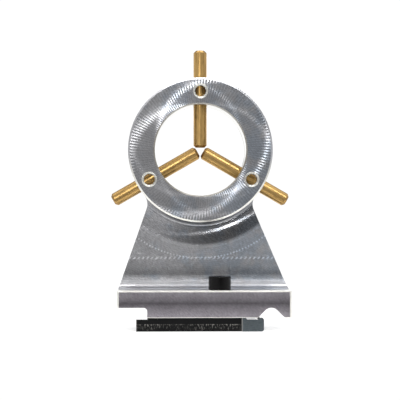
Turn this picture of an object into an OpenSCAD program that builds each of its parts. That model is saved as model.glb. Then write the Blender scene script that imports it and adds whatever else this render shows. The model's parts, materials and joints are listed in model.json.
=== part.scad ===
// Fixed three-finger steady rest for a small lathe.
// It stands on the bed by a flat and a vee, is clamped from below by a plate, and
// holds long work between three brass fingers set in its ring.
//
// Frame: +Z up, -Y is the operator's side, +X to the right. The origin is under the
// spindle axis, midway through the depth, on the plane that the clamp plate stands on.
// Modelled as separate pieces: one aluminium body, three fingers, the three screws
// that lock them, the bed clamp plate and its screw.

/* [Spindle line] */
// Height of the spindle axis above the flat bed way
centre_height = 70; // [60:1:90]
// Depth of the whole body, front to back
body_depth = 24; // [22:1:32]

/* [Base] */
// Height of the base's ledge above the flat bed way
ledge_height = 7.5; // [6:0.5:11]
// How far the foot reaches below the flat bed way
foot_drop = 4.5; // [4:0.25:6]
// Spindle axis to the foot's left side, where the flat way begins
foot_left = 23.7; // [18:0.1:30]
// Width of the flat that rests on the bed way, from the foot to the base's left end
flat_width = 13.3; // [8:0.1:20]
// Radius in the corner between the flat way and the foot
foot_corner_r = 1.6; // [0.5:0.1:3]
// Spindle axis to the middle of the vee
vee_offset = 31; // [27:0.5:38]
// Width of the vee at the foot's underside
vee_width = 12; // [9:0.5:15]
// Width of the toe outside the vee, at the base's right end
toe_width = 3; // [2:0.5:8]
// Radius of the round relief at the top of the vee
vee_relief_r = 3.8; // [1.5:0.1:4]
// Chamfer along the ledge's front edge
ledge_chamfer = 0.7; // [0.2:0.1:1.5]
// Chamfer on the base's two front corners
corner_chamfer = 0.8; // [0.2:0.1:1.5]
// Broken edge along the foot's front
foot_chamfer = 0.3; // [0.1:0.1:0.8]

/* [Web] */
// Thickness of the web that carries the ring
web_thickness = 6; // [4:0.5:9]
// How far the web's neck lies inside the ring's outer edge, on each side
neck_inset = 8.3; // [6:0.1:10]
// Height below the spindle axis at which the neck is measured
web_neck_drop = 26; // [24:0.5:30]
// Radius of the web's edge where it runs into the ring
neck_fillet_r = 6; // [3:0.5:8]
// Radius of the hollow between the web and the ledge
ledge_cove_r = 6; // [2:0.5:8]
// Radius of the hollow at the ring's foot
ring_cove_r = 2.4; // [1:0.1:4]
// Width of the shallow dish turned into the web around the ring
dish_width = 11.3; // [8:0.1:14]
// Radius of the dish's hollow section
dish_arc_r = 50; // [30:1:90]
// Slope at which the dish runs out into the flat of the web, in degrees
dish_lip_angle = 3; // [2:0.5:6]

/* [Ring] */
// Bore of the ring
bore_d = 41; // [34:0.5:50]
// Wall of the ring between the bore and its outside
ring_wall = 12; // [10:0.5:15]
// Depth of the ring, front to back
ring_depth = 16; // [14:0.5:20]
// Chamfer on the ring's outer edges
ring_chamfer = 0.8; // [0.2:0.1:1.5]
// Chamfer on the bore's edges
bore_chamfer = 0.6; // [0.2:0.1:1.5]

/* [Fingers] */
// Diameter of each brass finger
finger_d = 6; // [4:0.5:7.5]
// Length of each finger
finger_length = 44; // [36:1:56]
// Chamfer on both ends of a finger
finger_chamfer = 1; // [0.3:0.1:1.5]
// How far each fingertip stands back from where neighbouring tips would touch
tip_spare = 0.245; // [0.1:0.005:2]
// Radial clearance of a sliding or turning piece in its hole
fit_clearance = 0.05; // [0.02:0.01:0.1]

/* [Finger lock screws] */
// Thread diameter of the lock screws
lock_d = 6; // [5:0.5:7.5]
// Depth of its thread, which the empty front half of each lock hole shows at its crests
lock_thread = 0.5; // [0.3:0.05:0.7]
// How much wider than the thread the countersink on each lock hole is
lock_mouth_rim = 0.8; // [0.4:0.1:1.5]
// Hexagon socket of a lock screw, across flats
lock_hex = 3; // [2:0.5:3]
// Depth of that socket
lock_hex_depth = 2.6; // [1.5:0.1:3]
// Gap between a lock screw's point and its finger
lock_gap = 0.1; // [0.05:0.05:0.3]
// How far a lock screw's end lies below the ring's back face
lock_sink = 0.1; // [0.05:0.05:0.5]

/* [Bed clamp] */
// Thread diameter of the clamp screw
clamp_d = 6; // [5:0.5:7.5]
// Length of its thread engaged in the plate when clamped
clamp_engagement = 3.85; // [3:0.05:4.5]
// Head diameter of the clamp screw
clamp_head_d = 10; // [8.5:0.5:12]
// Head height of the clamp screw
clamp_head_h = 6; // [4:0.5:7]
// Hexagon socket of the clamp screw, across flats
clamp_hex = 5; // [3:0.5:5]
// Depth of that socket
clamp_hex_depth = 3; // [2:0.5:3.5]
// Diametral clearance of the clamp screw in the base
clamp_clearance = 0.6; // [0.3:0.1:1]
// Spindle axis to the clamp screw
clamp_x = 8.5; // [2:0.5:14]
// Ledge left in front of the clamp screw's head
head_margin = 2; // [1:0.25:4]
// Gap under the screw's head
head_gap = 0.05; // [0.02:0.01:0.1]
// Gap between the foot and the clamp plate when clamped
plate_gap = 0.1; // [0.05:0.05:0.3]

/* [Clamp plate] */
// Thickness of the clamp plate over its land
plate_thickness = 6; // [5:0.25:8]
// How far the plate reaches past the foot, under the bed's flange
plate_overhang = 4.9; // [2:0.1:8]
// How far the plate reaches past the left edge of the vee
plate_reach = 2.8; // [1:0.1:5]
// How far the plate's front lies behind the base's front
plate_inset = 1; // [0.5:0.25:2]
// How far the plate's back lies inside the base's back
plate_back_inset = 2; // [1:0.25:4]
// Depth of the two reliefs beside the plate's land
relief_depth = 0.75; // [0.3:0.05:1.2]
// Right end of the plate to the right end of its land
land_inset = 8.2; // [5:0.1:11]
// Width of the lip at the plate's right end
lip_width = 1.8; // [1:0.1:2.5]
// Width of the machined block at the right of the plate's front
block_width = 9.6; // [6:0.1:13]
// Setback of the plate's lower front band behind that block
band_setback = 0.8; // [0.3:0.1:1.5]
// Further setback of the band above it
groove_setback = 0.6; // [0.2:0.1:1.5]
// Height of the lower front band
band_height = 3; // [2:0.25:3.5]
// Bevel on the plate's right-hand corners
plate_bevel = 0.7; // [0.2:0.1:1.5]

/* [Hidden] */

// Finish of each kind of piece
aluminium = [0.66, 0.66, 0.69];
brass = [0.74, 0.57, 0.30];
black_oxide = [0.10, 0.09, 0.09];
steel = [0.27, 0.29, 0.32];

// Directions in which the fingers point away from the spindle, seen from the front
angle_top = 90;
angle_left = 210;
angle_right = 330;

// Cutters run this far past the surface that they cut
past = 1;

// Widths
base_left = foot_left + flat_width;
base_right = vee_offset + vee_width / 2 + toe_width;
plate_left = foot_left + plate_overhang;
plate_right = vee_offset - vee_width / 2 + plate_reach;
land_right = plate_right - land_inset;
block_left = plate_right - block_width;

// Heights
foot_z = plate_thickness + plate_gap;
way_z = foot_z + foot_drop;
ledge_z = way_z + ledge_height;
axis_z = way_z + centre_height;

// Depths
front_y = -body_depth / 2;
back_y = body_depth / 2;
floor_y = back_y - web_thickness;
ring_face_y = back_y - ring_depth;
finger_y = back_y - ring_depth / 2;
clamp_y = front_y + head_margin + clamp_head_d / 2;
plate_depth = body_depth - plate_inset - plate_back_inset;

// Ring
bore_r = bore_d / 2;
ring_r = bore_r + ring_wall;
wall_mid_r = (ring_r + bore_r) / 2;
web_neck = ring_r - neck_inset;
dish_r = ring_r + dish_width;

// The hollow over the ledge is no larger than the room behind the screw's head
hollow_r = min(ledge_cove_r, floor_y - clamp_y - clamp_head_d / 2);

// Neighbouring fingers would touch with the edges of their flat tips
tip_distance = (finger_d / 2 - finger_chamfer) / sqrt(3) + tip_spare;

// Lock holes
lock_core_d = lock_d - 2 * lock_thread;
lock_mouth_d = lock_d + lock_mouth_rim;

// Clamp screw
clamp_hole_d = clamp_d + clamp_clearance;
head_z = ledge_z + head_gap;
screw_tip_z = plate_thickness - clamp_engagement;
clamp_length = head_z - screw_tip_z;
point_chamfer = 0.8;
head_chamfer = 0.5;

// The dish's section is an arc that reaches the flat of the web at its lip angle
dish_run = dish_arc_r * sin(dish_lip_angle);
dish_centre_h = web_thickness + dish_arc_r * cos(dish_lip_angle);
cove_end_r = ring_r + ring_cove_r;
dish_top_h = dish_centre_h - sqrt(dish_arc_r ^ 2 - (dish_r + dish_run - cove_end_r) ^ 2);

// A flat outline in X and Z, made solid between two depths
module through_y(y0, y1) {
  translate([0, y1, 0])
    rotate([90, 0, 0])
      linear_extrude(y1 - y0)
        children();
}

// A section in Y and Z, made solid between two widths
module along_x(x0, x1) {
  translate([x0, 0, 0])
    rotate([90, 0, 90])
      linear_extrude(x1 - x0)
        children();
}

// A section in radius and height above the back face, turned about the spindle
module turned(fn = 180) {
  translate([0, back_y, axis_z])
    rotate([90, 0, 0])
      rotate_extrude($fn = fn)
        children();
}

// Puts its children's Z axis on a finger's line, with zero at the spindle
module on_finger_line(angle) {
  translate([0, finger_y, axis_z])
    rotate([0, 90 - angle, 0])
      children();
}

// Puts its children at a lock hole, with Z pointing back and zero at the finger's line
module at_lock_hole(angle) {
  translate([wall_mid_r * cos(angle), finger_y, axis_z + wall_mid_r * sin(angle)])
    rotate([-90, 0, 0])
      children();
}

// A round bar with a chamfer at each end
module chamfered_bar(d, length, c0, c1, fn = 64) {
  rotate_extrude($fn = fn)
    polygon([
      [0, 0],
      [d / 2 - c0, 0],
      [d / 2, c0],
      [d / 2, length - c1],
      [d / 2 - c1, length],
      [0, length]
    ]);
}

// A hexagon socket, open upwards at z = 0
module hex_socket(across_flats, depth) {
  translate([0, 0, -depth])
    cylinder(h = depth + past, d = across_flats / cos(30), $fn = 6);
}

// One side of the web: a straight edge from the base's corner to the neck.
// side is 1 on the right and -1 on the left; both are drawn as if on the right.
function end_x(side) = side > 0 ? base_right : base_left;
function edge_run(side) = end_x(side) - web_neck;
function edge_rise() = centre_height - ledge_height - web_neck_drop;
function edge_length(side) = sqrt(edge_run(side) ^ 2 + edge_rise() ^ 2);
// Unit direction up the edge, and unit normal away from the web
function edge_up(side) = [-edge_run(side), edge_rise()] / edge_length(side);
function edge_out(side) = [edge_rise(), edge_run(side)] / edge_length(side);
// Distance of the edge's line from the spindle
function edge_distance(side) = [web_neck, -web_neck_drop] * edge_out(side);
// Centre of the neck fillet: clear of the ring and of the edge by its own radius
function fillet_centre(side) =
  let (d = edge_distance(side) + neck_fillet_r)
    edge_out(side) * d
    - edge_up(side) * sqrt((ring_r + neck_fillet_r) ^ 2 - d ^ 2);

// Half of the web's outline, drawn about the spindle, with its fillet into the ring
module web_half(side) {
  c = fillet_centre(side);
  on_edge = c - edge_out(side) * neck_fillet_r;
  on_ring = c * (ring_r / (ring_r + neck_fillet_r));
  inside = c * (wall_mid_r / (ring_r + neck_fillet_r));
  difference() {
    polygon([
      [0, ledge_z - axis_z - ledge_chamfer],
      [end_x(side), ledge_z - axis_z - ledge_chamfer],
      [end_x(side), ledge_z - axis_z],
      on_edge,
      c,
      inside,
      [0, -wall_mid_r]
    ]);
    translate(c)
      circle(r = neck_fillet_r, $fn = 96);
    circle(r = wall_mid_r, $fn = 180);
  }
}

module web_outline() {
  translate([0, axis_z])
    union() {
      web_half(1);
      mirror([1, 0])
        web_half(-1);
    }
}

// Underside of the base: flat way, foot and vee
module vee_outline() {
  apex = vee_width / 2;
  flank = vee_relief_r / sqrt(2);
  centre_h = apex - vee_relief_r * sqrt(2);
  translate([vee_offset, foot_z]) {
    polygon([
      [-apex - past, -past],
      [apex + past, -past],
      [flank, centre_h + flank],
      [-flank, centre_h + flank]
    ]);
    translate([0, centre_h])
      circle(r = vee_relief_r, $fn = 96);
  }
}

module base_outline() {
  difference() {
    translate([-base_left, foot_z])
      square([base_left + base_right, ledge_z - foot_z]);
    // Room for the flat bed way, with a round inner corner
    difference() {
      translate([-base_left - past, foot_z - past])
        square([base_left + past - foot_left, foot_drop + past]);
      difference() {
        translate([-foot_left - foot_corner_r, way_z - foot_corner_r])
          square(foot_corner_r + past);
        translate([-foot_left - foot_corner_r, way_z - foot_corner_r])
          circle(r = foot_corner_r, $fn = 64);
      }
    }
    vee_outline();
  }
}

// Section front to back: base, ledge, hollow and web
module side_section() {
  top_z = axis_z;
  difference() {
    polygon([
      [front_y + foot_chamfer, foot_z],
      [back_y, foot_z],
      [back_y, top_z],
      [floor_y - hollow_r, top_z],
      [floor_y - hollow_r, ledge_z],
      [front_y + ledge_chamfer, ledge_z],
      [front_y, ledge_z - ledge_chamfer],
      [front_y, foot_z + foot_chamfer]
    ]);
    translate([floor_y - hollow_r, ledge_z + hollow_r])
      circle(r = hollow_r, $fn = 96);
    translate([floor_y - hollow_r - past, ledge_z + hollow_r])
      square([hollow_r + past, top_z]);
  }
}

// The ring itself, with its four chamfered edges
module ring() {
  turned()
    polygon([
      [bore_r + bore_chamfer, 0],
      [ring_r - ring_chamfer, 0],
      [ring_r, ring_chamfer],
      [ring_r, ring_depth - ring_chamfer],
      [ring_r - ring_chamfer, ring_depth],
      [bore_r + bore_chamfer, ring_depth],
      [bore_r, ring_depth - bore_chamfer],
      [bore_r, bore_chamfer]
    ]);
}

// The hollow at the ring's foot and the shallow dish outside it
module ring_foot() {
  intersection() {
    turned()
      union() {
        difference() {
          translate([wall_mid_r, past])
            square([cove_end_r - wall_mid_r, dish_top_h + ring_cove_r - past]);
          translate([cove_end_r, dish_top_h + ring_cove_r])
            circle(r = ring_cove_r, $fn = 96);
        }
        difference() {
          translate([cove_end_r, past])
            square([dish_r - cove_end_r, dish_top_h - past]);
          translate([dish_r + dish_run, dish_centre_h])
            circle(r = dish_arc_r, $fn = 360);
        }
      }
    through_y(front_y, back_y)
      web_outline();
  }
}

// Base and web, cut from one slab by an outline and a section
module slab() {
  intersection() {
    through_y(front_y, back_y)
      union() {
        base_outline();
        web_outline();
      }
    along_x(-base_left, base_right)
      side_section();
  }
}

// Takes the sharp corner off one front edge of the base
module corner_cut(x) {
  side = corner_chamfer * sqrt(2);
  translate([x, front_y, (foot_z + ledge_z) / 2])
    rotate([0, 0, 45])
      cube([side, side, ledge_z - foot_z + 2 * past], center = true);
}

// One lock hole: empty thread in front, screwed thread behind, both countersunk
module lock_hole(angle) {
  mouth_depth = (lock_mouth_d - lock_core_d) / 2;
  back_mouth = (lock_mouth_d - lock_d) / 2 - fit_clearance;
  at_lock_hole(angle) {
    translate([0, 0, -ring_depth / 2 - past])
      cylinder(h = ring_depth / 2 + past, d = lock_core_d, $fn = 64);
    translate([0, 0, -ring_depth / 2])
      cylinder(h = mouth_depth, d1 = lock_mouth_d, d2 = lock_core_d, $fn = 64);
    cylinder(h = ring_depth / 2 + past, d = lock_d + 2 * fit_clearance, $fn = 64);
    translate([0, 0, ring_depth / 2 - back_mouth])
      cylinder(h = back_mouth, d1 = lock_d + 2 * fit_clearance, d2 = lock_mouth_d, $fn = 64);
  }
}

module finger_hole(angle) {
  on_finger_line(angle)
    translate([0, 0, bore_r - finger_d])
      cylinder(h = ring_r - bore_r + 2 * finger_d, d = finger_d + 2 * fit_clearance, $fn = 64);
}

module rest_body() {
  color(aluminium)
    difference() {
      union() {
        slab();
        ring();
        ring_foot();
      }
      for (angle = [angle_top, angle_left, angle_right]) {
        finger_hole(angle);
        lock_hole(angle);
      }
      translate([clamp_x, clamp_y, foot_z - past])
        cylinder(h = ledge_z - foot_z + 2 * past, d = clamp_hole_d, $fn = 64);
      for (x = [-base_left, base_right])
        corner_cut(x);
    }
}

module finger(angle) {
  color(brass)
    on_finger_line(angle)
      translate([0, 0, tip_distance])
        chamfered_bar(finger_d, finger_length, finger_chamfer, finger_chamfer);
}

module finger_top() { finger(angle_top); }
module finger_left() { finger(angle_left); }
module finger_right() { finger(angle_right); }

module lock_screw(angle) {
  start = finger_d / 2 + lock_gap;
  length = ring_depth / 2 - start - lock_sink;
  color(black_oxide)
    at_lock_hole(angle)
      translate([0, 0, start])
        difference() {
          chamfered_bar(lock_d, length, point_chamfer, head_chamfer);
          translate([0, 0, length])
            hex_socket(lock_hex, lock_hex_depth);
        }
}

module lock_screw_top() { lock_screw(angle_top); }
module lock_screw_left() { lock_screw(angle_left); }
module lock_screw_right() { lock_screw(angle_right); }

module clamp_screw() {
  color(black_oxide)
    translate([clamp_x, clamp_y, 0])
      difference() {
        union() {
          translate([0, 0, screw_tip_z])
            chamfered_bar(clamp_d, clamp_length + clamp_head_h / 2, point_chamfer, 0);
          translate([0, 0, head_z])
            chamfered_bar(clamp_head_d, clamp_head_h, 0.2, head_chamfer);
        }
        translate([0, 0, head_z + clamp_head_h])
          hex_socket(clamp_hex, clamp_hex_depth);
      }
}

// Outline of the plate in X and Z: a land under the foot, reliefs under the ways
module plate_outline() {
  relief_z = plate_thickness - relief_depth;
  lip_left = plate_right - lip_width;
  polygon([
    [-plate_left, 0],
    [plate_right - plate_bevel, 0],
    [plate_right, plate_bevel],
    [plate_right, plate_thickness - plate_bevel],
    [plate_right - plate_bevel, plate_thickness],
    [lip_left, plate_thickness],
    [lip_left - relief_depth, relief_z],
    [land_right + relief_depth, relief_z],
    [land_right, plate_thickness],
    [-foot_left, plate_thickness],
    [-foot_left, relief_z],
    [-plate_left, relief_z]
  ]);
}

module clamp_plate() {
  plate_front_y = front_y + plate_inset;
  color(steel)
    difference() {
      through_y(plate_front_y, plate_front_y + plate_depth)
        plate_outline();
      // Front left of the block is set back, and its upper band further still
      translate([-plate_left - past, plate_front_y - past, -past])
        cube([plate_left + past + block_left, band_setback + past, plate_thickness + 2 * past]);
      translate([-plate_left - past, plate_front_y - past, band_height])
        cube([plate_left + past + block_left,
              band_setback + groove_setback + past,
              plate_thickness]);
      translate([clamp_x, clamp_y, -past])
        cylinder(h = plate_thickness + 2 * past, d = clamp_d + 2 * fit_clearance, $fn = 64);
    }
}

rest_body();
finger_top();
finger_left();
finger_right();
lock_screw_top();
lock_screw_left();
lock_screw_right();
clamp_screw();
clamp_plate();
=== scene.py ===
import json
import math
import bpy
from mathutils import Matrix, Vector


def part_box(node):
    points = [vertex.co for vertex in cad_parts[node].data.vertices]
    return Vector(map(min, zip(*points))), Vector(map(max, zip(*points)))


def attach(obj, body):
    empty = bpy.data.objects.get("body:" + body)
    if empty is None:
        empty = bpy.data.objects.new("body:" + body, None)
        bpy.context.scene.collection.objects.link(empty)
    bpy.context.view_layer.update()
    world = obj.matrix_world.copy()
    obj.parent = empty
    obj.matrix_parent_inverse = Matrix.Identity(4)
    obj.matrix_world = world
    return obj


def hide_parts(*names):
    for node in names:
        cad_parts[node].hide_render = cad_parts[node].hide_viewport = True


bl_info = {
    "name": "Lathe steady rest",
    "version": (1, 0, 0),
    "blender": (4, 5, 0),
    "location": "View3D > Sidebar > Steady Rest",
    "description": "Finishes, threaded screws and stage for a three-finger lathe steady rest",
    "category": "Object",
}

import bpy
from bpy.props import FloatProperty, FloatVectorProperty, IntProperty, PointerProperty
from mathutils import Vector

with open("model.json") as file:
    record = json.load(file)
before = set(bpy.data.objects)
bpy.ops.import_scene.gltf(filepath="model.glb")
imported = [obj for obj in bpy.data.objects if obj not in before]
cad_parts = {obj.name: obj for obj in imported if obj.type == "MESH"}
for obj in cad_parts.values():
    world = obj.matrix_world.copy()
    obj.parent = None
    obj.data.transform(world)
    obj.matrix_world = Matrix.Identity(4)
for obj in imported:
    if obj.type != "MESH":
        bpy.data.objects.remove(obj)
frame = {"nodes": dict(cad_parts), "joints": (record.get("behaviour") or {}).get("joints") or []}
bpy.context.view_layer.update()

MM = 0.001
FULL_TURN = 2 * math.pi
SIDES = ("top", "left", "right")

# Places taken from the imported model
JOINTS = {joint["name"]: joint for joint in frame["joints"]}
HOLES = {side: Vector(JOINTS["lock_" + side + "_turn"]["pos_m"]) for side in SIDES}
BODY_LOW, BODY_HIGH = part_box("rest_body")
SPINDLE_Z = (HOLES["top"].z + 2 * HOLES["left"].z) / 3
HOLE_CIRCLE = HOLES["top"].z - SPINDLE_Z
RING_R = BODY_HIGH.z - SPINDLE_Z
BORE_R = 2 * HOLE_CIRCLE - RING_R
FINGER_LOW, FINGER_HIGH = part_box("finger_top")
FINGER_Y = (FINGER_LOW.y + FINGER_HIGH.y) / 2
RING_FACE_Y = 2 * FINGER_Y - BODY_HIGH.y
LEDGE_Z = JOINTS["clamp_turn"]["pos_m"][2]
CLAMP_AXIS = Vector(JOINTS["clamp_turn"]["pos_m"])
FINGER_ANGLES = {"top": 90, "left": 210, "right": 330}

# Measures of the screws that aren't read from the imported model
CLAMP_SHANK_R = 3 * MM
HEAD_GAP = 0.05 * MM
HEAD_CHAMFER = 0.5 * MM
HEAD_FOOT_CHAMFER = 0.2 * MM
CLAMP_POINT_CHAMFER = 0.4 * MM
LOCK_POINT_CHAMFER = 0.5 * MM
LOCK_BACK_CHAMFER = 0.15 * MM
# How far a thread's triangle reaches into the core, and how much of the pitch it fills
THREAD_ROOT = 0.12 * MM
THREAD_FILL = 0.92

# Fineness of the modelling, and the distance within which a point counts as on a surface
SHANK_VERTICES = 48
THREAD_STEPS = 36
CHAMFER_STEPS = 3
TOUCHING = 1e-5
# How far a cutter or a hidden end runs on, past the surface it meets
OVERRUN = 1 * MM

# Cutter marks on the body: the sweep of the arcs over the ring's wall, in degrees
SWEEP_AT_BORE = 24
SWEEP_ACROSS = -88
# Direction of the key light across the ring, in degrees, along which the painted highlight bands
# lie
PAINTED_GLINT_ANGLE = 135
TANGENT_LEAD = 4
# Fineness of the dotted arc, by angle, and of the dotted line and the back's arcs, by length
LAST_PASS_DOTS = 210.0
LINE_DOTS = 3.1
BACK_ARCS = 6.5
# Inner and outer radius of a countersink, and the reach of the lock holes' thread, in mm
RIM_INNER = 2.55
RIM_OUTER = 3.7
THREAD_REACH = 3.2

# Name, place, width and height in metres, power in watts, and whether it casts shadows
LIGHTS = (
    ("overhead", (0.0, 0.1, 0.88), 0.9, 0.17, 3.4, False),
    ("key", (-0.18, -0.75, 0.34), 0.04, 0.04, 0.68, False),
    ("low", (0.17, -0.73, -0.25), 0.03, 0.03, 0.075, True),
    ("rim", (0.36, -0.6, 0.66), 0.08, 0.08, 1.1, True),
)
# The dim side of the room lies this way
DIM_SIDE = (0.155, -0.951, -0.268)


# ---------------------------------------------------------------------------
# Settings


class RestBodySettings(bpy.types.PropertyGroup):
    """Finish of the milled aluminium body"""

    colour: FloatVectorProperty(
        name="Aluminium",
        description="Colour of clean milled aluminium",
        subtype="COLOR", size=3, min=0, max=1, default=(0.64, 0.64, 0.665),
    )
    cool_colour: FloatVectorProperty(
        name="Cool aluminium",
        description="Colour of its cooler patches",
        subtype="COLOR", size=3, min=0, max=1, default=(0.54, 0.585, 0.655),
    )
    warm_colour: FloatVectorProperty(
        name="Base aluminium",
        description="Colour of the base's front, which is a little purple",
        subtype="COLOR", size=3, min=0, max=1, default=(0.60, 0.56, 0.615),
    )
    # Also used for the painted highlights on the chamfers and the painted shade in the bore
    edge_colour: FloatVectorProperty(
        name="Turned edges",
        description="Colour of the turned chamfers and of the bore",
        subtype="COLOR", size=3, min=0, max=1, default=(0.70, 0.69, 0.65),
    )
    tick_count: IntProperty(
        name="Cutter ticks",
        description="Feed marks around the ring's face",
        min=60, max=600, default=150,
    )
    web_depth: FloatProperty(
        name="Web thickness",
        description="Thickness of the web behind its milled floor",
        unit="LENGTH", default=6 * MM,
    )
    dish_radius: FloatProperty(
        name="Dish radius",
        description="Radius at which the dish around the ring runs out",
        unit="LENGTH", default=43.8 * MM,
    )
    last_pass_radius: FloatProperty(
        name="Last pass radius",
        description="Radius of the dotted arc left by the last turn of the cutter",
        unit="LENGTH", default=48.8 * MM,
    )
    line_above_ledge: FloatProperty(
        name="Dotted line",
        description="Height above the ledge of the dotted line where two passes meet",
        unit="LENGTH", default=13.7 * MM,
    )


class FingerSettings(bpy.types.PropertyGroup):
    """Finish of the brass fingers"""

    colour: FloatVectorProperty(
        name="Brass",
        description="Colour of clean drawn brass",
        subtype="COLOR", size=3, min=0, max=1, default=(0.72, 0.46, 0.17),
    )
    tarnish: FloatVectorProperty(
        name="Tarnish",
        description="Colour of the tarnish in the drawn lines",
        subtype="COLOR", size=3, min=0, max=1, default=(0.15, 0.085, 0.028),
    )


class ScrewSettings(bpy.types.PropertyGroup):
    """Shape and finish of the black screws"""

    colour: FloatVectorProperty(
        name="Black oxide",
        description="Colour of the black oxide",
        subtype="COLOR", size=3, min=0, max=1, default=(0.0032, 0.0028, 0.003),
    )
    pitch: FloatProperty(
        name="Thread pitch",
        description="Distance from one thread to the next",
        unit="LENGTH", default=1 * MM,
    )
    thread_depth: FloatProperty(
        name="Thread depth",
        description="Depth of the thread below the screw's outside",
        unit="LENGTH", default=0.55 * MM,
    )
    knurl_count: IntProperty(
        name="Knurls",
        description="Ridges around the head of the clamp screw",
        min=12, max=90, default=44,
    )
    knurl_depth: FloatProperty(
        name="Knurl depth",
        description="Depth of the grooves between the ridges",
        unit="LENGTH", default=0.07 * MM,
    )
    clamp_socket: FloatProperty(
        name="Clamp screw socket",
        description="Hexagon socket of the clamp screw, across flats",
        unit="LENGTH", default=5 * MM,
    )
    clamp_socket_depth: FloatProperty(
        name="Clamp screw socket depth",
        description="Depth of that socket",
        unit="LENGTH", default=3 * MM,
    )
    lock_socket: FloatProperty(
        name="Lock screw socket",
        description="Hexagon socket of a lock screw, across flats",
        unit="LENGTH", default=3 * MM,
    )
    lock_socket_depth: FloatProperty(
        name="Lock screw socket depth",
        description="Depth of that socket",
        unit="LENGTH", default=2.6 * MM,
    )


class PlateSettings(bpy.types.PropertyGroup):
    """Finish of the clamp plate"""

    colour: FloatVectorProperty(
        name="Blackened steel",
        description="Colour of the blackened faces",
        subtype="COLOR", size=3, min=0, max=1, default=(0.009, 0.0095, 0.0105),
    )
    bare_colour: FloatVectorProperty(
        name="Milled steel",
        description="Colour of the milled block at the plate's front",
        subtype="COLOR", size=3, min=0, max=1, default=(0.115, 0.135, 0.147),
    )
    block_width: FloatProperty(
        name="Milled block",
        description="Width of the milled block at the right of the plate's front",
        unit="LENGTH", default=9.6 * MM,
    )
    band_height: FloatProperty(
        name="Lower band",
        description="Height of the roughly cut band along the plate's front",
        unit="LENGTH", default=3 * MM,
    )


class StageSettings(bpy.types.PropertyGroup):
    """Floor, light and camera"""

    floor_colour: FloatVectorProperty(
        name="Floor",
        description="Colour of the floor",
        subtype="COLOR", size=3, min=0, max=1, default=(0.93, 0.93, 0.93),
    )
    floor_size: FloatProperty(
        name="Floor size",
        description="Diameter of the round floor",
        unit="LENGTH", default=0.52,
    )
    floor_front: FloatProperty(
        name="Floor front",
        description="How far the floor's front edge lies from the middle of the object",
        unit="LENGTH", default=-60 * MM,
    )
    camera_place: FloatVectorProperty(
        name="Camera",
        description="Where the camera stands",
        subtype="TRANSLATION", size=3, default=(-15 * MM, -512 * MM, 51.43 * MM),
    )
    camera_aim: FloatVectorProperty(
        name="Aim",
        description="What the camera points at",
        subtype="TRANSLATION", size=3, default=(-0.5 * MM, -12 * MM, 58 * MM),
    )
    lens: FloatProperty(
        name="Lens",
        description="Focal length in millimetres",
        min=10, max=300, default=102.24,
    )


# ---------------------------------------------------------------------------
# Node helpers


class Wire:
    """A value in a material's node tree, with arithmetic that adds Math nodes"""

    def __init__(self, tree, socket):
        self.tree = tree
        self.socket = socket

    def math(self, operation, *others):
        node = self.tree.nodes.new("ShaderNodeMath")
        node.operation = operation
        for index, value in enumerate((self,) + others):
            if isinstance(value, Wire):
                self.tree.links.new(value.socket, node.inputs[index])
            else:
                node.inputs[index].default_value = value
        return Wire(self.tree, node.outputs[0])

    def __add__(self, other):
        return self.math("ADD", other)

    def __sub__(self, other):
        return self.math("SUBTRACT", other)

    def __mul__(self, other):
        return self.math("MULTIPLY", other)

    def __truediv__(self, other):
        return self.math("DIVIDE", other)

    def over(self, low, high):
        """Rises smoothly from 0 at low to 1 at high"""
        node = self.tree.nodes.new("ShaderNodeMapRange")
        node.interpolation_type = "SMOOTHSTEP"
        self.tree.links.new(self.socket, node.inputs["Value"])
        node.inputs["From Min"].default_value = low
        node.inputs["From Max"].default_value = high
        return Wire(self.tree, node.outputs["Result"])

    def between(self, low, high, soft):
        """1 from low to high, fading to 0 over soft on each side"""
        return self.over(low - soft, low) * self.over(high + soft, high)

    def near(self, centre, width):
        """1 at centre, fading to 0 at width on each side"""
        return (self - centre).math("ABSOLUTE").over(width, 0)

    def inverted(self):
        return self.math("MULTIPLY_ADD", -1, 1)

    def ramp(self, *stops):
        """A grey ramp through (position, value) stops"""
        node = self.tree.nodes.new("ShaderNodeValToRGB")
        elements = node.color_ramp.elements
        while len(elements) > 1:
            elements.remove(elements[-1])
        elements[0].position = stops[0][0]
        elements[0].color = (stops[0][1],) * 3 + (1,)
        for position, value in stops[1:]:
            elements.new(position).color = (value,) * 3 + (1,)
        self.tree.links.new(self.socket, node.inputs[0])
        return Wire(self.tree, node.outputs[0])


def add_up(wires):
    """The sum of several wires"""
    total = wires[0]
    for wire in wires[1:]:
        total = total + wire
    return total


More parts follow.
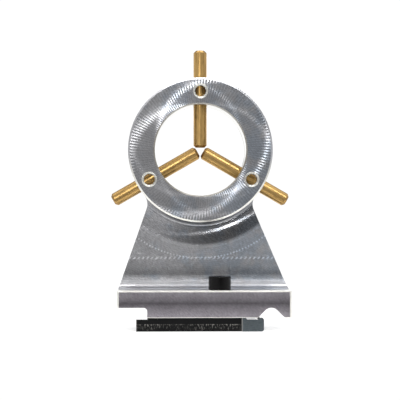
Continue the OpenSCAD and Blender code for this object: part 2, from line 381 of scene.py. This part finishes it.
class Finish:
    """A node material for one finish, with the piece's own coordinates in millimetres"""

    def __init__(self, name, centre=(0, 0, 0), turn=0):
        self.material = bpy.data.materials.new(name)
        self.material.use_nodes = True
        self.tree = self.material.node_tree
        self.shader = self.tree.nodes["Principled BSDF"]
        coordinates = self.tree.nodes.new("ShaderNodeTexCoord")
        moved = self.node("ShaderNodeVectorMath", operation="SUBTRACT")
        self.tree.links.new(coordinates.outputs["Object"], moved.inputs[0])
        moved.inputs[1].default_value = centre
        placed = self.node("ShaderNodeMapping")
        self.tree.links.new(moved.outputs[0], placed.inputs["Vector"])
        placed.inputs["Rotation"].default_value = (0, turn, 0)
        placed.inputs["Scale"].default_value = (1 / MM,) * 3
        self.place = placed.outputs["Vector"]
        self.x, self.y, self.z = self.split(self.place)
        self.normal = coordinates.outputs["Normal"]
        self.nx, self.ny, self.nz = self.split(self.normal)

    def node(self, kind, **settings):
        node = self.tree.nodes.new(kind)
        for key, value in settings.items():
            setattr(node, key, value)
        return node

    def split(self, socket):
        node = self.node("ShaderNodeSeparateXYZ")
        self.tree.links.new(socket, node.inputs[0])
        return [Wire(self.tree, output) for output in node.outputs]

    def join(self, x, y, z):
        node = self.node("ShaderNodeCombineXYZ")
        for index, value in enumerate((x, y, z)):
            if isinstance(value, Wire):
                self.tree.links.new(value.socket, node.inputs[index])
            else:
                node.inputs[index].default_value = value
        return node.outputs[0]

    def noise(self, scale, detail=2.0, roughness=0.5, place=None, stretch=(1, 1, 1)):
        """Noise in features per millimetre, stretched along the axes"""
        mapping = self.node("ShaderNodeMapping")
        self.tree.links.new(place or self.place, mapping.inputs["Vector"])
        mapping.inputs["Scale"].default_value = stretch
        noise = self.node("ShaderNodeTexNoise")
        self.tree.links.new(mapping.outputs[0], noise.inputs["Vector"])
        noise.inputs["Scale"].default_value = scale
        noise.inputs["Detail"].default_value = detail
        noise.inputs["Roughness"].default_value = roughness
        return Wire(self.tree, noise.outputs["Fac"])

    def blend(self, factor, first, second):
        """Mixes two colours or values; either may be a constant"""
        node = self.node("ShaderNodeMix", data_type="RGBA")
        self.tree.links.new(factor.socket, node.inputs["Factor"])
        for name, value in (("A", first), ("B", second)):
            socket = [s for s in node.inputs if s.name == name and s.type == "RGBA"][0]
            if isinstance(value, Wire):
                self.tree.links.new(value.socket, socket)
            elif isinstance(value, bpy.types.NodeSocket):
                self.tree.links.new(value, socket)
            else:
                socket.default_value = tuple(value) + (1,)
        return [s for s in node.outputs if s.type == "RGBA"][0]

    def dim(self, colour, factor):
        """A colour multiplied by a value"""
        node = self.node("ShaderNodeVectorMath", operation="SCALE")
        if isinstance(colour, bpy.types.NodeSocket):
            self.tree.links.new(colour, node.inputs[0])
        else:
            node.inputs[0].default_value = tuple(colour)
        self.tree.links.new(factor.socket, node.inputs["Scale"])
        return node.outputs[0]

    def set(self, name, value):
        if isinstance(value, Wire):
            value = value.socket
        if isinstance(value, bpy.types.NodeSocket):
            self.tree.links.new(value, self.shader.inputs[name])
        else:
            self.shader.inputs[name].default_value = value

    def bump(self, height, distance, strength=1.0):
        node = self.node("ShaderNodeBump")
        self.tree.links.new(height.socket, node.inputs["Height"])
        node.inputs["Distance"].default_value = distance
        node.inputs["Strength"].default_value = strength
        self.tree.links.new(node.outputs[0], self.shader.inputs["Normal"])

    def cover(self, piece):
        """Puts this finish on every slot of a piece"""
        if not piece.material_slots:
            piece.data.materials.append(self.material)
        for slot in piece.material_slots:
            slot.material = self.material


# ---------------------------------------------------------------------------
# Modelling helpers


def start_from_nothing_selected():
    if bpy.context.mode != "OBJECT":
        bpy.ops.object.mode_set(mode="OBJECT")
    bpy.ops.object.select_all(action="DESELECT")


def make_active(piece, others=()):
    start_from_nothing_selected()
    for item in (piece,) + tuple(others):
        item.select_set(True)
    bpy.context.view_layer.objects.active = piece


def edit(piece):
    make_active(piece)
    bpy.ops.object.mode_set(mode="EDIT")
    bpy.ops.mesh.select_all(action="DESELECT")
    bpy.ops.object.mode_set(mode="OBJECT")


def pick(piece, test, what="FACE"):
    """In edit mode, selects the faces, edges or vertices that pass a test"""
    edit(piece)
    mesh = piece.data
    chosen = {"FACE": mesh.polygons, "EDGE": mesh.edges, "VERT": mesh.vertices}[what]
    for item in chosen:
        item.select = test(item)
    bpy.ops.object.mode_set(mode="EDIT")
    bpy.ops.mesh.select_mode(type=what)


def finish_editing():
    bpy.ops.object.mode_set(mode="OBJECT")


def apply_modifiers(piece):
    make_active(piece)
    for modifier in list(piece.modifiers):
        bpy.ops.object.modifier_apply(modifier=modifier.name)


def settle(piece, name):
    """Cleans a finished mesh and leaves its object at the origin"""
    make_active(piece)
    bpy.ops.object.transform_apply(location=True, rotation=True, scale=True)
    bpy.ops.object.mode_set(mode="EDIT")
    bpy.ops.mesh.select_all(action="SELECT")
    bpy.ops.mesh.remove_doubles(threshold=1e-6)
    bpy.ops.mesh.normals_make_consistent(inside=False)
    bpy.ops.object.mode_set(mode="OBJECT")
    bpy.ops.object.shade_smooth_by_angle(angle=math.radians(32))
    piece.name = name
    piece.data.name = name


def cylinder(radius, low, high, vertices=96):
    """A cylinder on the Z axis between two heights"""
    start_from_nothing_selected()
    bpy.ops.mesh.primitive_cylinder_add(
        vertices=vertices, radius=radius, depth=high - low, location=(0, 0, (low + high) / 2)
    )
    return bpy.context.object


def cut_socket(piece, across_flats, depth, top):
    """Cuts a hexagon socket down from the top of a piece"""
    cutter = cylinder(across_flats / 2 / math.cos(math.pi / 6), top - depth, top + OVERRUN, 6)
    boolean = piece.modifiers.new("socket", "BOOLEAN")
    boolean.operation = "DIFFERENCE"
    boolean.solver = "EXACT"
    boolean.object = cutter
    apply_modifiers(piece)
    make_active(cutter)
    bpy.ops.object.delete()


def thread(outer_r, depth, pitch, low, high):
    """A helical ridge on the Z axis: a triangle swept by the Screw modifier, its ends closed"""
    start_from_nothing_selected()
    radius = (depth + THREAD_ROOT) * 2 / 3
    bpy.ops.mesh.primitive_circle_add(
        vertices=3,
        radius=radius,
        location=(outer_r - radius, 0, low + pitch / 2),
        rotation=(0, math.radians(90), math.radians(-90)),
    )
    ridge = bpy.context.object
    width = radius * math.sqrt(3)
    bpy.ops.transform.resize(value=(1, 1, THREAD_FILL * pitch / width))
    bpy.ops.object.transform_apply(location=True, rotation=True, scale=True)
    screw = ridge.modifiers.new("thread", "SCREW")
    screw.axis = "Z"
    screw.screw_offset = pitch
    screw.iterations = int((high - low) / pitch) - 1
    screw.steps = THREAD_STEPS
    screw.render_steps = THREAD_STEPS
    screw.use_smooth_shade = False
    apply_modifiers(ridge)
    edit(ridge)
    bpy.ops.object.mode_set(mode="EDIT")
    bpy.ops.mesh.select_mode(type="EDGE")
    bpy.ops.mesh.select_non_manifold()
    bpy.ops.mesh.edge_face_add()
    finish_editing()
    return ridge


def chamfer_end(piece, height, radius, size):
    """Bevels the round edge of a piece at a height"""

    def on_rim(edge):
        ends = [piece.matrix_world @ piece.data.vertices[i].co for i in edge.vertices]
        return all(
            abs(end.z - height) < TOUCHING and abs(end.xy.length - radius) < TOUCHING
            for end in ends
        )

    pick(piece, on_rim, "EDGE")
    bpy.ops.mesh.bevel(offset=size, segments=CHAMFER_STEPS, profile=0.5)
    finish_editing()


def join(piece, others):
    make_active(piece, others)
    bpy.ops.object.join()
    return piece


def ride_for(piece, node, body):
    """The piece stands for a CAD node, which it hides, and moves with its body"""
    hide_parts(node)
    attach(piece, body)


# ---------------------------------------------------------------------------
# Finishes


def around(hole, x, z):
    """Distance from a lock hole's axis, and the angle around it"""
    away_x = x - hole.x / MM
    away_z = z - (hole.z - SPINDLE_Z) / MM
    away = (away_x * away_x + away_z * away_z).math("SQRT")
    return away, away_z.math("ARCTAN2", away_x)


def milled_aluminium(settings):
    """Milled aluminium with the marks of the cutter on the ring, dish, web and base, and painted
    highlights and shade
    """
    finish = Finish("milled_aluminium", centre=(0, 0, SPINDLE_Z))
    x, y, z = finish.x, finish.y, finish.z
    ring_r = RING_R / MM
    bore_r = BORE_R / MM
    ring_y = RING_FACE_Y / MM
    base_y = BODY_LOW.y / MM
    dish_r = settings.dish_radius / MM
    radius = (x * x + z * z).math("SQRT")
    angle = z.math("ARCTAN2", x)
    front = (finish.ny * -1).over(0.86, 0.97)
    ring_face = front * y.over(ring_y + 0.6, ring_y + 0.2)
    ring_face = ring_face * radius.over(ring_r + 0.2, ring_r - 0.1)
    base_face = front * y.over(base_y + 0.4, base_y + 0.1)
    web_y = (BODY_HIGH.y - settings.web_depth) / MM
    web_face = y.over(web_y - 5.5, web_y - 4.5) * front
    wall = (radius - bore_r) / (ring_r - bore_r)

    # The cutter swept the ring's face in arcs, once each way, so two families of arcs cross
    tick = (angle * settings.tick_count + wall * 5).math("SINE") * 0.5 + 0.5
    family = tick.over(0.40, 0.60) * 2 - 1
    sweep = (wall * math.radians(SWEEP_ACROSS) + math.radians(SWEEP_AT_BORE)) * family
    # Painted highlight: bands where the arcs would glint in the key light, lightening the ring's
    # colour
    across = (angle + sweep - math.radians(PAINTED_GLINT_ANGLE)).math("SINE").math("ABSOLUTE")
    painted_glint = across.over(0.24, 0.04) * family.math("ABSOLUTE") * ring_face

    # On the web the cutter ran round the ring, and straight across below the dotted line
    line_z = (LEDGE_Z + settings.line_above_ledge - SPINDLE_Z) / MM
    low_web = z.over(line_z + 0.5, line_z - 0.5)
    on_ring = angle + sweep + math.radians(TANGENT_LEAD)
    in_dish = web_face * radius.over(dish_r + 0.2, dish_r - 2.2)
    scatter = (finish.noise(1.6, 2.0) - 0.5) * 9 * in_dish.inverted()
    round_web = angle + math.pi / 2 + scatter
    on_web = round_web * low_web.inverted() + scatter * low_web
    turn = on_ring * ring_face + on_web * ring_face.inverted()
    tangent = finish.join(turn.math("COSINE"), 0.0, turn.math("SINE"))
    finish.tree.links.new(tangent, finish.shader.inputs["Tangent"])

    # Dotted arcs and line
    dots = (angle * LAST_PASS_DOTS).math("SINE").over(-0.3, 0.9)
    last_r = settings.last_pass_radius / MM
    arc = radius.near(last_r, 0.6) * dots * web_face * low_web.inverted()
    dish_edge = radius.near(dish_r, 0.3) * web_face * low_web.inverted()
    slant = x - (z - line_z) * 0.7
    cross_dots = (slant * LINE_DOTS).math("SINE").over(-0.1, 0.7) * z.near(line_z, 0.85) * web_face
    fine_ticks = (radius * 7.0 + (angle * 90).math("SINE") * 0.6).math("SINE") * 0.5 + 0.5
    above_ledge = z - (LEDGE_Z - SPINDLE_Z) / MM
    # Painted shade and light on the low web: lighter at the ledge, a dark band just above the
    # cove, lighter again higher up
    web_shade_bands = (above_ledge / 16).ramp(
        (0.0, 0.95), (0.36, 0.80), (0.41, 0.66), (0.46, 0.66),
        (0.60, 0.84), (0.82, 1.0), (1.0, 1.0),
    )

    # Brightness of each face, with painted highlights and shade
    grain = finish.noise(3.2, 3.0, 0.7)
    cloud = finish.noise(0.09, 3.0, 0.55)
    waver = finish.noise(0.5, 2.0) * 3
    slanted = finish.join(x + z, y, x - z)
    diagonal = finish.noise(1.0, 2.0, 0.6, place=slanted, stretch=(1.7, 1.0, 0.45))
    diagonal = diagonal.over(0.3, 0.7)
    base_low = (BODY_LOW.z - SPINDLE_Z) / MM
    base_high = (LEDGE_Z - SPINDLE_Z) / MM
    up_base = (z - base_low) / (base_high - base_low)
    base_tone = up_base.ramp(
        (0.0, 0.80), (0.12, 0.74), (0.30, 0.60), (0.44, 0.44), (0.53, 0.30),
        (0.64, 0.48), (0.85, 0.70), (1.0, 0.78),
    )
    # The ring's tone: the cutter's ticks, with the painted highlight bands on top
    ring_tone = tick * 0.16 + 0.66 + painted_glint * 0.75
    # Painted shade and light: the dish is darker, and lighter towards its left
    dish_left_light = in_dish * x.over(6, -22)
    web_tone = (fine_ticks * 0.10 + 0.78 - in_dish * 0.12 + dish_left_light * 0.45) * web_shade_bands
    tone = ring_tone * ring_face + web_tone * web_face
    tone = tone + base_tone * base_face
    faces = (ring_face + web_face + base_face).math("MINIMUM", 1.0)
    rest = faces.inverted()
    # Painted highlight on the ring's outer edge, on its lower half only
    ring_edge_highlight = radius.over(ring_r - 1.2, ring_r - 0.9) * z.over(0, -12)
    ring_edge_highlight = ring_edge_highlight * y.over(ring_y + 1.6, ring_y + 1.2)
    # Painted shade in the cove round the ring's foot, on its lower half
    ring_foot_shade = radius.between(ring_r + 0.1, ring_r + 3.6, 0.4) * z.over(0, -12)
    ring_foot_shade = ring_foot_shade * y.over(-1, 0) * y.over(web_y + 2, web_y + 1)
    # Painted shade: the bore's wall is darker
    bore_wall = radius.over(bore_r + 0.7, bore_r + 0.5)
    tone = tone + rest * (ring_edge_highlight * 0.45 - ring_foot_shade * 0.5 - bore_wall * 0.2 + 0.95)
    near_holes = [around(hole, x, z) for hole in HOLES.values()]
    # Painted highlight on the countersinks round the lock holes
    rim_highlights = add_up([away.between(RIM_INNER, RIM_OUTER, 0.1) for away, _ in near_holes])
    rim_highlights = rim_highlights * front.inverted() * y.over(ring_y + 1.6, ring_y + 1.2)
    # Painted shade on the ledge's front edge, and a painted highlight on its flat top
    ledge_edge_shade = y.over(base_y + 0.7, base_y + 0.4) * front.inverted()
    ledge_edge_shade = ledge_edge_shade * finish.nz.over(0.2, 0.5)
    ledge_flat_highlight = finish.nz.over(0.9, 0.98) * z.near(base_high, 0.6)
    tone = tone + rim_highlights * 0.5 - ledge_edge_shade * 0.45 + ledge_flat_highlight * 0.6

    # The back was faced with a large cutter, whose arcs cross it
    back = finish.ny.over(0.9, 0.97)
    away_back = ((x + 60) * (x + 60) + (z + 20) * (z + 20)).math("SQRT")
    back_arcs = (away_back * BACK_ARCS + waver * 0.4).math("SINE") * 0.5 + 0.5
    sideways = finish.nx.math("ABSOLUTE")
    shaded_sides = sideways.over(0.8, 0.95) + radius.over(ring_r - 0.3, ring_r - 0.1) * rest
    shaded_sides = shaded_sides * back.inverted() * y.over(web_y + 0.5, web_y + 1.5)
    base_ends = sideways.over(0.9, 0.98) * z.over(base_high + 0.5, base_high)
    shaded_sides = (shaded_sides + base_ends).math("MINIMUM", 1.0)
    # Painted shade: the back and the sides are darker than the front; the back also carries the
    # cutter's arcs
    tone = tone + back * (back_arcs * 0.12 - 0.3) - shaded_sides * 0.42
    strong = faces * 0.7 + 0.3
    tone = tone * ((grain * 0.5 - 0.25) * strong + 1) * (cloud * 0.5 + 0.75)
    tone = tone * ((diagonal * 0.34 - 0.17) * strong + 1)
    # The cutter's dotted marks, painted lighter for their sparkle, and a lighter line at the
    # dish's edge
    marks = arc + cross_dots
    tone = tone + marks + dish_edge * 0.2
    patches = (finish.noise(0.13, 3.0, 0.6) + x * 0.004).over(0.42, 0.66)
    metal = finish.blend(patches * strong, settings.colour, settings.cool_colour)
    metal = finish.blend(base_face, metal, settings.warm_colour)
    # The painted highlights on the ring's edge and countersinks, and the bore, take the turned
    # colour
    edges = (ring_edge_highlight * rest + rim_highlights + bore_wall).math("MINIMUM", 1.0)
    metal = finish.blend(edges, metal, settings.edge_colour)
    finish.set("Base Color", finish.dim(metal, tone.math("MINIMUM", 1.45)))
    finish.set("Metallic", 1.0)
    finish.set("Anisotropic", 1.0)
    flat_web = (front + finish.nz.over(0.05, 0.3)).math("MINIMUM", 1.0) * ring_face.inverted()
    rough = grain * 0.10 * in_dish.inverted() + 0.24 + marks * 0.3
    rough = rough + flat_web * 0.16 - in_dish * 0.26
    rough = rough - finish.nz.over(0.25, 0.5) * 0.12
    finish.set("Roughness", rough.math("MAXIMUM", 0.12))

    # Thread in the three lock holes
    threads = add_up([
        away.over(THREAD_REACH, THREAD_REACH - 0.1) * (y * FULL_TURN + turned).math("SINE")
        for away, turned in near_holes
    ])
    threads = threads * finish.ny.math("ABSOLUTE").over(0.3, 0.1)
    texture = (grain * 0.25 + diagonal * 0.15) * in_dish.inverted() * strong
    height = tick * ring_face * 0.35 + texture + threads * 9.0 + marks * 5
    finish.bump(height, 0.02 * MM, 0.8)
    return finish


def finger_brass(settings, side):
    """Drawn brass with tarnish in streaks along the rod"""
    turn = math.radians(FINGER_ANGLES[side] - 90)
    finish = Finish("finger_brass_" + side, centre=(0, FINGER_Y, SPINDLE_Z), turn=turn)
    streak = finish.noise(1.5, 4.0, 0.65, stretch=(1, 1, 0.055))
    patch = finish.noise(0.35, 3.0, 0.6, stretch=(1, 1, 0.35))
    fine = finish.noise(5.5, 2.0, 0.6, stretch=(1, 1, 0.12))
    end = (FINGER_HIGH.z - FINGER_LOW.z) / MM
    tip = (FINGER_LOW.z - SPINDLE_Z) / MM
    edge = finish.z.over(tip + 1.3, tip + 0.7)
    edge = edge + finish.z.over(tip + end - 1.3, tip + end - 0.7)
    dirt = (streak.over(0.46, 0.66) * 0.62 + patch.over(0.5, 0.72) * 0.35).math("MINIMUM", 1.0)
    dirt = (dirt + edge * 0.35).math("MINIMUM", 0.92)
    finish.set("Base Color", finish.blend(dirt, settings.colour, settings.tarnish))
    finish.set("Metallic", 1.0)
    finish.set("Roughness", dirt * 0.22 + fine * 0.12 + 0.27)
    finish.bump(streak * 0.5 + fine * 0.5, 0.03 * MM, 0.7)
    return finish


def black_screw_steel(settings):
    """Glossy black oxide with oil and fine wear"""
    finish = Finish("black_screw_steel")
    grain = finish.noise(2.0, 3.0, 0.6)
    wear = finish.noise(0.9, 4.0, 0.7).over(0.62, 0.8)
    finish.set("Base Color", finish.blend(wear * 0.3, settings.colour, (0.07, 0.065, 0.06)))
    finish.set("Roughness", grain * 0.14 + 0.16)
    finish.set("Specular IOR Level", 0.06)
    finish.set("Coat Weight", 0.35)
    finish.set("Coat Roughness", 0.04)
    finish.bump(grain, 0.01 * MM, 0.6)
    return finish


def clamp_steel(settings):
    """Blackened steel with cutter chatter on its lower band, and one milled block with a painted
    highlight down its edge
    """
    finish = Finish("clamp_steel")
    low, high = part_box("clamp_plate")
    x, y, z = finish.x, finish.y, finish.z
    block_x = (high.x - settings.block_width) / MM
    front = (finish.ny * -1).over(0.6, 0.9)
    block = front * x.over(block_x - 0.05, block_x + 0.05)
    band_z = settings.band_height / MM
    dark_front = front * block.inverted()
    band = dark_front * z.over(band_z + 0.1, band_z - 0.1)
    chatter = finish.noise(1.0, 3.0, 0.75, stretch=(1.9, 0.1, 0.45))
    group = finish.noise(0.12, 2.0, 0.5, stretch=(1, 0.1, 0.1))
    group = group.over(0.35, 0.62) * 0.75 + 0.25
    marks = chatter.over(0.52, 0.68) * band * group
    top_of_band = z.near(band_z, 0.35) * dark_front
    worn_end = x.near(low.x / MM, 0.6) * front * chatter
    flecks = marks * z.over(0.0, 2.4) * 1.3 + worn_end * 0.5
    flecks = flecks + top_of_band * chatter.over(0.42, 0.66) * group
    grain = finish.noise(2.5, 3.0, 0.6)
    # Painted highlight: a lighter line down the milled block's edge
    edge = x.near(block_x, 0.4) * front
    worn = (flecks + grain * 0.05).math("MINIMUM", 1.0)
    dark = finish.blend(worn, settings.colour, (0.30, 0.29, 0.27))
    scrape = finish.noise(1.2, 3.0, 0.7, stretch=(0.4, 1, 2.2))
    bare = finish.dim(settings.bare_colour, grain * 0.5 + scrape * 0.9 + 0.2)
    colour = finish.blend(block, dark, bare)
    # The painted highlight at the block's edge
    colour = finish.blend(edge * 0.8, colour, (0.45, 0.45, 0.44))
    ground = finish.nz.math("ABSOLUTE").over(0.8, 0.95)
    colour = finish.blend(ground, colour, (0.62, 0.62, 0.62))
    finish.set("Base Color", colour)
    finish.set("Metallic", 1.0)
    finish.set("Roughness", (grain * 0.2 + 0.28) * (ground * -0.65 + 1.0))
    finish.bump(chatter * band * 2.5 + grain * 0.4, 0.05 * MM, 0.9)
    return finish


# ---------------------------------------------------------------------------
# Pieces


class REST_OT_body(bpy.types.Operator):
    """Gives the body its milled finish"""

    bl_idname = "rest.body"
    bl_label = "Rest body"

    def execute(self, context):
        milled_aluminium(context.scene.rest_body_settings).cover(frame["nodes"]["rest_body"])
        return {"FINISHED"}


class REST_OT_fingers(bpy.types.Operator):
    """Gives the three fingers their drawn brass finish"""

    bl_idname = "rest.fingers"
    bl_label = "Brass fingers"

    def execute(self, context):
        for side in SIDES:
            finish = finger_brass(context.scene.rest_finger_settings, side)
            finish.cover(frame["nodes"]["finger_" + side])
        return {"FINISHED"}


class REST_OT_clamp_screw(bpy.types.Operator):
    """Models the clamp screw with a knurled head, a hexagon socket and a thread"""

    bl_idname = "rest.clamp_screw"
    bl_label = "Clamp screw"

    def execute(self, context):
        settings = context.scene.rest_screw_settings
        low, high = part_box("clamp_screw")
        head_r = (high.x - low.x) / 2
        head_low = LEDGE_Z + HEAD_GAP
        core_r = CLAMP_SHANK_R - settings.thread_depth
        head = cylinder(head_r, head_low, high.z, 2 * settings.knurl_count)
        chamfer_end(head, high.z, head_r, HEAD_CHAMFER)
        chamfer_end(head, head_low, head_r, HEAD_FOOT_CHAMFER)
        lower = head_low + 0.35 * MM
        upper = high.z - 0.9 * MM
        self.knurl(head, head_r, lower, upper, settings)
        cut_socket(head, settings.clamp_socket, settings.clamp_socket_depth, high.z)
        core = cylinder(core_r, low.z, head_low + OVERRUN, SHANK_VERTICES)
        chamfer_end(core, low.z, core_r, CLAMP_POINT_CHAMFER)
        lowest = low.z + 0.3 * MM
        highest = head_low - 0.5 * MM
        ridge = thread(CLAMP_SHANK_R, settings.thread_depth, settings.pitch, lowest, highest)
        screw = join(head, (core, ridge))
        bpy.ops.transform.translate(value=(CLAMP_AXIS.x, CLAMP_AXIS.y, 0))
        settle(screw, "clamp_screw_threaded")
        black_screw_steel(settings).cover(screw)
        ride_for(screw, "clamp_screw", "clamp_screw")
        return {"FINISHED"}

    def knurl(self, head, head_r, lower, upper, settings):
        """Cuts two rings round the head's side and sinks every second edge between them"""
        for height in (lower, upper):
            pick(head, lambda face: True)
            bpy.ops.mesh.bisect(plane_co=(0, 0, height), plane_no=(0, 0, 1))
            finish_editing()
        count = settings.knurl_count

        def in_groove(vertex):
            place = head.matrix_world @ vertex.co
            on_side = abs(place.xy.length - head_r) < TOUCHING
            step = round(math.atan2(place.y, place.x) / FULL_TURN * 2 * count)
            between = lower - TOUCHING < place.z < upper + TOUCHING
            return on_side and between and step % 2 == 1

        pick(head, in_groove, "VERT")
        shrink = 1 - settings.knurl_depth / head_r
        bpy.ops.transform.resize(value=(shrink, shrink, 1), center_override=(0, 0, 0))
        finish_editing()


class REST_OT_lock_screws(bpy.types.Operator):
    """Models one lock screw with a socket, a point and a thread, and copies it"""

    bl_idname = "rest.lock_screws"
    bl_label = "Lock screws"

    def execute(self, context):
        settings = context.scene.rest_screw_settings
        low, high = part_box("lock_screw_top")
        length = high.y - low.y
        shank_r = (high.x - low.x) / 2
        core_r = shank_r - settings.thread_depth
        core = cylinder(core_r, 0, length, SHANK_VERTICES)
        chamfer_end(core, 0, core_r, LOCK_POINT_CHAMFER)
        chamfer_end(core, length, core_r, LOCK_BACK_CHAMFER)
        cut_socket(core, settings.lock_socket, settings.lock_socket_depth, length)
        lowest = 0.4 * MM
        highest = length - 0.02 * MM
        ridge = thread(shank_r, settings.thread_depth, settings.pitch, lowest, highest)
        screw = join(core, (ridge,))
        bpy.ops.object.transform_apply(location=True, rotation=True, scale=True)
        quarter = math.radians(90)
        bpy.ops.transform.rotate(value=quarter, orient_axis="X", center_override=(0, 0, 0))
        bpy.ops.object.transform_apply(location=True, rotation=True, scale=True)
        finish = black_screw_steel(settings)
        for side in SIDES:
            make_active(screw)
            bpy.ops.object.duplicate()
            copy = bpy.context.object
            place = HOLES[side]
            bpy.ops.transform.translate(value=(place.x, low.y, place.z))
            settle(copy, "lock_screw_" + side + "_threaded")
            finish.cover(copy)
            ride_for(copy, "lock_screw_" + side, "lock_screw_" + side)
        make_active(screw)
        bpy.ops.object.delete()
        return {"FINISHED"}


class REST_OT_clamp_plate(bpy.types.Operator):
    """Gives the clamp plate its blackened and milled faces"""

    bl_idname = "rest.clamp_plate"
    bl_label = "Clamp plate"

    def execute(self, context):
        clamp_steel(context.scene.rest_plate_settings).cover(frame["nodes"]["clamp_plate"])
        return {"FINISHED"}


# ---------------------------------------------------------------------------
# Stage


def soft_box(name, place, aim, width, height, power):
    """An area light that faces a point"""
    start_from_nothing_selected()
    bpy.ops.object.light_add(type="AREA", location=place)
    lamp = bpy.context.object
    lamp.name = name
    lamp.data.shape = "RECTANGLE"
    lamp.data.size = width
    lamp.data.size_y = height
    lamp.data.energy = power
    lamp.rotation_euler = (Vector(aim) - Vector(place)).to_track_quat("-Z", "Y").to_euler()
    lamp.visible_camera = False
    return lamp


def studio_world(scene):
    """White room with a dim side behind the camera, which is seen as plain white"""
    world = bpy.data.worlds.new("studio")
    scene.world = world
    world.use_nodes = True
    tree = world.node_tree
    background = tree.nodes["Background"]
    coordinates = tree.nodes.new("ShaderNodeTexCoord")
    toward = tree.nodes.new("ShaderNodeVectorMath")
    toward.operation = "DOT_PRODUCT"
    tree.links.new(coordinates.outputs["Generated"], toward.inputs[0])
    toward.inputs[1].default_value = Vector(DIM_SIDE).normalized()
    away = Wire(tree, toward.outputs["Value"]).math("ARCCOSINE") / math.pi
    level = away.ramp(
        (0.0, 0.10), (0.045, 0.12), (0.083, 0.24), (0.11, 0.34),
        (0.167, 0.44), (0.33, 0.62), (0.5, 0.62), (1.0, 0.50),
    )
    split = tree.nodes.new("ShaderNodeSeparateXYZ")
    tree.links.new(coordinates.outputs["Generated"], split.inputs[0])
    backdrop = Wire(tree, split.outputs["Y"]).over(0.3, 0.8)
    backdrop = backdrop * Wire(tree, split.outputs["Z"]).math("ABSOLUTE").over(0.3, 0.1)
    level = level + backdrop * 0.8
    path = tree.nodes.new("ShaderNodeLightPath")
    camera_ray = Wire(tree, path.outputs["Is Camera Ray"])
    strength = level * camera_ray.inverted() + camera_ray * 1.05
    tree.links.new(strength.socket, background.inputs["Strength"])
    background.inputs["Color"].default_value = (1, 1, 1, 1)


class REST_OT_stage(bpy.types.Operator):
    """Adds the floor, the studio light and the camera"""

    bl_idname = "rest.stage"
    bl_label = "Stage"

    def execute(self, context):
        settings = context.scene.rest_stage_settings
        scene = context.scene
        scene.view_settings.view_transform = "Standard"
        start_from_nothing_selected()
        radius = settings.floor_size / 2
        middle = (0, radius + settings.floor_front, 0)
        bpy.ops.mesh.primitive_circle_add(
            vertices=128, radius=radius, fill_type="NGON", location=middle
        )
        floor = context.object
        floor.name = "floor"
        paint = Finish("pale_floor")
        mottle = paint.noise(0.01, 2.0) * 0.04 + 0.98
        paint.set("Base Color", paint.dim(settings.floor_colour, mottle))
        paint.set("Roughness", 0.9)
        paint.set("Emission Color", (1, 1, 1, 1))
        paint.set("Emission Strength", 0.22)
        paint.cover(floor)
        studio_world(scene)
        for name, place, width, height, power, shadows in LIGHTS:
            lamp = soft_box(name, place, (0, 0, 60 * MM), width, height, power)
            lamp.data.use_shadow = shadows
        start_from_nothing_selected()
        bpy.ops.object.camera_add(location=settings.camera_place)
        camera = context.object
        camera.name = "camera"
        aim = Vector(settings.camera_aim) - Vector(settings.camera_place)
        camera.rotation_euler = aim.to_track_quat("-Z", "Y").to_euler()
        camera.data.lens = settings.lens
        camera.data.sensor_width = 36
        camera.data.clip_start = 0.01
        scene.camera = camera
        return {"FINISHED"}


class REST_PT_panel(bpy.types.Panel):
    """The steady rest's pieces and stage"""

    bl_label = "Steady Rest"
    bl_idname = "REST_PT_panel"
    bl_space_type = "VIEW_3D"
    bl_region_type = "UI"
    bl_category = "Steady Rest"

    def draw(self, context):
        for operator in OPERATORS:
            self.layout.operator(operator.bl_idname)


SETTINGS = {
    "rest_body_settings": RestBodySettings,
    "rest_finger_settings": FingerSettings,
    "rest_screw_settings": ScrewSettings,
    "rest_plate_settings": PlateSettings,
    "rest_stage_settings": StageSettings,
}
OPERATORS = (
    REST_OT_stage,
    REST_OT_body,
    REST_OT_fingers,
    REST_OT_lock_screws,
    REST_OT_clamp_screw,
    REST_OT_clamp_plate,
)


def register():
    for name, group in SETTINGS.items():
        bpy.utils.register_class(group)
        setattr(bpy.types.Scene, name, PointerProperty(type=group))
    for operator in OPERATORS:
        bpy.utils.register_class(operator)
    bpy.utils.register_class(REST_PT_panel)


def unregister():
    bpy.utils.unregister_class(REST_PT_panel)
    for operator in reversed(OPERATORS):
        bpy.utils.unregister_class(operator)
    for name, group in SETTINGS.items():
        delattr(bpy.types.Scene, name)
        bpy.utils.unregister_class(group)


def main():
    register()
    bpy.ops.rest.stage()
    bpy.ops.rest.body()
    bpy.ops.rest.fingers()
    bpy.ops.rest.lock_screws()
    bpy.ops.rest.clamp_screw()
    bpy.ops.rest.clamp_plate()
    bpy.context.view_layer.update()


if __name__ == "__main__":
    main()
